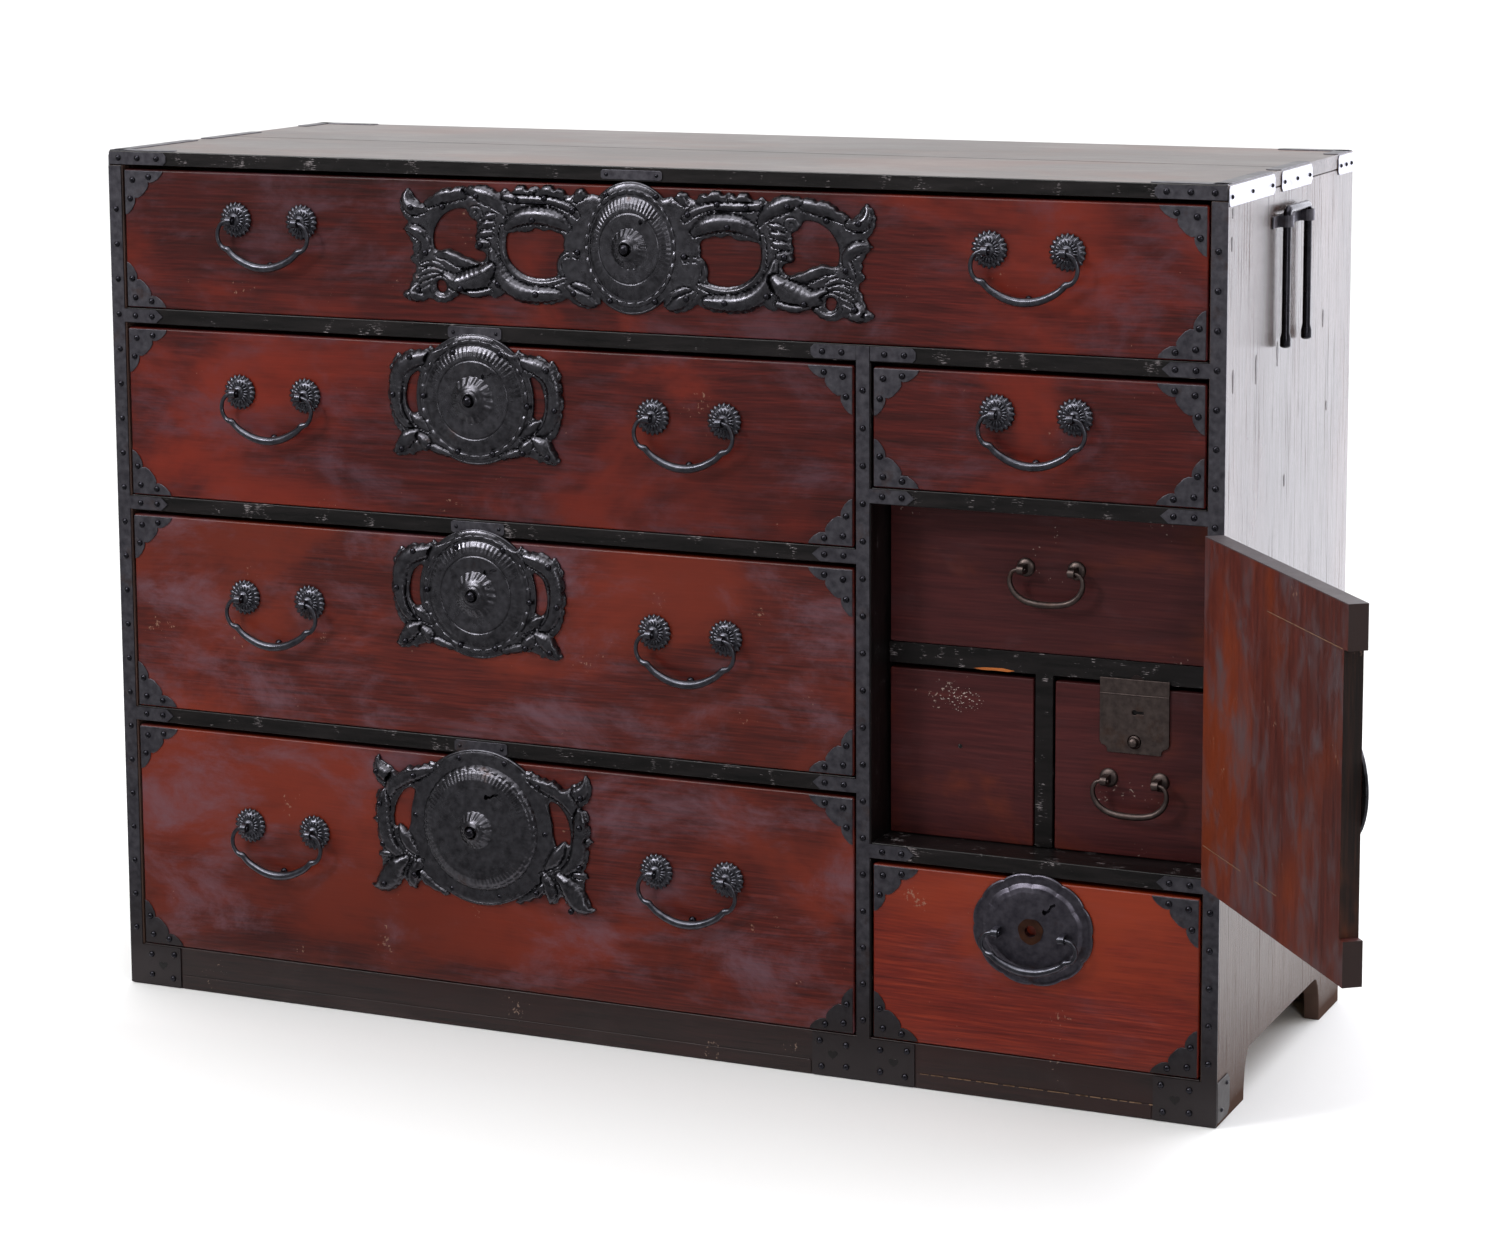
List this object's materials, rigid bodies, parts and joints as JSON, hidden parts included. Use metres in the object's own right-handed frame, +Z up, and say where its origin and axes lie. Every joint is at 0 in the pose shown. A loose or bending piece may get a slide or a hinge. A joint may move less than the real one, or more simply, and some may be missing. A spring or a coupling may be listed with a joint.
{
  "type": "tansu chest",
  "caption": "Low Japanese clothes chest in red brown lacquer with iron lock plates and bails, sliding drawers, and a hinged door over small inner drawers.",
  "frame": {"origin": "on the floor, in the middle of the front plinth's underside", "axes": "+X to the right along the front, +Y from the front to the back, +Z up"},
  "size_m": [1.426, 0.7305, 0.889],
  "materials": {
    "top_wood": "weathered grey brown lacquer, satin",
    "side_lacquer": "dark brown lacquer, glossy",
    "frame_lacquer": "black lacquer, worn on its edges",
    "plain_wood": "bare cedar",
    "front_lacquer": "red brown transparent lacquer over elm grain",
    "inner_lacquer": "dark brown lacquer, satin",
    "door_lacquer": "worn red brown lacquer",
    "forged_iron": "forged, dark wax finish",
    "chased_iron": "hammered and chased sheet, dark wax finish"
  },
  "bodies": {
    "case": {"top_board": "top_wood", "left_side_board": "side_lacquer", "right_side_board": "side_lacquer", "back_panel": "plain_wood", "plinth": "frame_lacquer", "bottom_board": "plain_wood", "centre_partition": "frame_lacquer", "upper_shelf": "frame_lacquer", "left_shelf_upper": "frame_lacquer", "left_shelf_lower": "frame_lacquer", "right_shelf_upper": "frame_lacquer", "right_shelf_lower": "frame_lacquer", "inner_divider": "frame_lacquer", "left_frame_iron": "forged_iron", "centre_frame_iron": "forged_iron", "right_frame_iron": "forged_iron", "left_handle_strap": "forged_iron", "right_handle_strap": "forged_iron"},
    "top_drawer": {"top_drawer_front": "front_lacquer", "top_drawer_box": "plain_wood", "top_lock_plate": "chased_iron"},
    "top_bail_left": {"top_bail_left": "forged_iron"},
    "top_bail_right": {"top_bail_right": "forged_iron"},
    "top_knob": {"top_lock_knob": "chased_iron"},
    "second_drawer": {"second_drawer_front": "front_lacquer", "second_drawer_box": "plain_wood", "second_lock_plate": "chased_iron"},
    "second_bail_left": {"second_bail_left": "forged_iron"},
    "second_bail_right": {"second_bail_right": "forged_iron"},
    "second_knob": {"second_lock_knob": "chased_iron"},
    "third_drawer": {"third_drawer_front": "front_lacquer", "third_drawer_box": "plain_wood", "third_lock_plate": "chased_iron"},
    "third_bail_left": {"third_bail_left": "forged_iron"},
    "third_bail_right": {"third_bail_right": "forged_iron"},
    "third_knob": {"third_lock_knob": "chased_iron"},
    "bottom_drawer": {"bottom_drawer_front": "front_lacquer", "bottom_drawer_box": "plain_wood", "bottom_lock_plate": "chased_iron"},
    "bottom_bail_left": {"bottom_bail_left": "forged_iron"},
    "bottom_bail_right": {"bottom_bail_right": "forged_iron"},
    "bottom_knob": {"bottom_lock_knob": "chased_iron"},
    "small_drawer": {"small_drawer_front": "front_lacquer", "small_drawer_box": "plain_wood"},
    "small_bail": {"small_bail": "forged_iron"},
    "lower_right_drawer": {"lower_right_drawer_front": "front_lacquer", "lower_right_drawer_box": "plain_wood", "lower_right_lock_plate": "chased_iron"},
    "lower_right_bail": {"lower_right_bail": "forged_iron"},
    "inner_upper_drawer": {"inner_upper_drawer": "inner_lacquer"},
    "inner_upper_bail": {"inner_upper_bail": "forged_iron"},
    "inner_left_drawer": {"inner_left_drawer": "inner_lacquer"},
    "inner_right_drawer": {"inner_right_drawer": "inner_lacquer", "inner_lock_plate": "forged_iron"},
    "inner_right_bail": {"inner_right_bail": "forged_iron"},
    "inner_knob": {"inner_lock_knob": "chased_iron"},
    "door": {"door_panel": "door_lacquer", "door_lock_plate": "chased_iron"},
    "left_carry_handle": {"left_carry_handle": "forged_iron"},
    "right_carry_handle": {"right_carry_handle": "forged_iron"}
  },
  "joints": [
    {"name": "top_drawer_slide", "type": "slide", "parent": "case", "child": "top_drawer", "axis": [0, -1, 0], "range_m": [0, 0.3]},
    {"name": "top_bail_left_swing", "type": "hinge", "parent": "top_drawer", "child": "top_bail_left", "pos_m": [-0.40903, -0.025, 0.82201], "axis": [-1, 0, 0], "range_deg": [0, 100]},
    {"name": "top_bail_right_swing", "type": "hinge", "parent": "top_drawer", "child": "top_bail_right", "pos_m": [0.40903, -0.025, 0.82201], "axis": [-1, 0, 0], "range_deg": [0, 100]},
    {"name": "top_knob_push", "type": "slide", "parent": "top_drawer", "child": "top_knob", "axis": [0, 1, 0], "range_m": [0, 0.006], "stiffness_N_per_m": 300},
    {"name": "second_drawer_slide", "type": "slide", "parent": "case", "child": "second_drawer", "axis": [0, -1, 0], "range_m": [0, 0.3]},
    {"name": "second_bail_left_swing", "type": "hinge", "parent": "second_drawer", "child": "second_bail_left", "pos_m": [-0.40903, -0.025, 0.64451], "axis": [-1, 0, 0], "range_deg": [0, 100]},
    {"name": "second_bail_right_swing", "type": "hinge", "parent": "second_drawer", "child": "second_bail_right", "pos_m": [0.05957, -0.025, 0.64451], "axis": [-1, 0, 0], "range_deg": [0, 100]},
    {"name": "second_knob_push", "type": "slide", "parent": "second_drawer", "child": "second_knob", "axis": [0, 1, 0], "range_m": [0, 0.006], "stiffness_N_per_m": 300},
    {"name": "third_drawer_slide", "type": "slide", "parent": "case", "child": "third_drawer", "axis": [0, -1, 0], "range_m": [0, 0.3]},
    {"name": "third_bail_left_swing", "type": "hinge", "parent": "third_drawer", "child": "third_bail_left", "pos_m": [-0.40903, -0.025, 0.43001], "axis": [-1, 0, 0], "range_deg": [0, 100]},
    {"name": "third_bail_right_swing", "type": "hinge", "parent": "third_drawer", "child": "third_bail_right", "pos_m": [0.05957, -0.025, 0.43001], "axis": [-1, 0, 0], "range_deg": [0, 100]},
    {"name": "third_knob_push", "type": "slide", "parent": "third_drawer", "child": "third_knob", "axis": [0, 1, 0], "range_m": [0, 0.006], "stiffness_N_per_m": 300},
    {"name": "bottom_drawer_slide", "type": "slide", "parent": "case", "child": "bottom_drawer", "axis": [0, -1, 0], "range_m": [0, 0.3]},
    {"name": "bottom_bail_left_swing", "type": "hinge", "parent": "bottom_drawer", "child": "bottom_bail_left", "pos_m": [-0.40903, -0.025, 0.18749], "axis": [-1, 0, 0], "range_deg": [0, 100]},
    {"name": "bottom_bail_right_swing", "type": "hinge", "parent": "bottom_drawer", "child": "bottom_bail_right", "pos_m": [0.05957, -0.025, 0.18749], "axis": [-1, 0, 0], "range_deg": [0, 100]},
    {"name": "bottom_knob_push", "type": "slide", "parent": "bottom_drawer", "child": "bottom_knob", "axis": [0, 1, 0], "range_m": [0, 0.006], "stiffness_N_per_m": 300},
    {"name": "small_drawer_slide", "type": "slide", "parent": "case", "child": "small_drawer", "axis": [0, -1, 0], "range_m": [0, 0.3]},
    {"name": "small_bail_swing", "type": "hinge", "parent": "small_drawer", "child": "small_bail", "pos_m": [0.41727, -0.025, 0.66803], "axis": [-1, 0, 0], "range_deg": [0, 100]},
    {"name": "lower_right_drawer_slide", "type": "slide", "parent": "case", "child": "lower_right_drawer", "axis": [0, -1, 0], "range_m": [0, 0.3]},
    {"name": "lower_right_bail_swing", "type": "hinge", "parent": "lower_right_drawer", "child": "lower_right_bail", "pos_m": [0.41727, -0.025, 0.16941], "axis": [-1, 0, 0], "range_deg": [0, 100]},
    {"name": "inner_upper_drawer_slide", "type": "slide", "parent": "case", "child": "inner_upper_drawer", "axis": [0, -1, 0], "range_m": [0, 0.26]},
    {"name": "inner_upper_bail_swing", "type": "hinge", "parent": "inner_upper_drawer", "child": "inner_upper_bail", "pos_m": [0.41727, 0.02, 0.51404], "axis": [-1, 0, 0], "range_deg": [0, 100]},
    {"name": "inner_left_drawer_slide", "type": "slide", "parent": "case", "child": "inner_left_drawer", "axis": [0, -1, 0], "range_m": [0, 0.26]},
    {"name": "inner_right_drawer_slide", "type": "slide", "parent": "case", "child": "inner_right_drawer", "axis": [0, -1, 0], "range_m": [0, 0.26]},
    {"name": "inner_right_bail_swing", "type": "hinge", "parent": "inner_right_drawer", "child": "inner_right_bail", "pos_m": [0.50201, 0.02, 0.31633], "axis": [-1, 0, 0], "range_deg": [0, 100]},
    {"name": "inner_knob_push", "type": "slide", "parent": "inner_right_drawer", "child": "inner_knob", "axis": [0, 1, 0], "range_m": [0, 0.006], "stiffness_N_per_m": 300},
    {"name": "door_swing", "type": "hinge", "parent": "case", "child": "door", "pos_m": [0.6, -0.0153, 0.40678], "axis": [0, 0, 1], "range_deg": [-128, 110]},
    {"name": "left_carry_handle_lift", "type": "slide", "parent": "case", "child": "left_carry_handle", "axis": [0, 0, 1], "range_m": [0, 0.1]},
    {"name": "right_carry_handle_lift", "type": "slide", "parent": "case", "child": "right_carry_handle", "axis": [0, 0, 1], "range_m": [0, 0.1]}
  ]
}
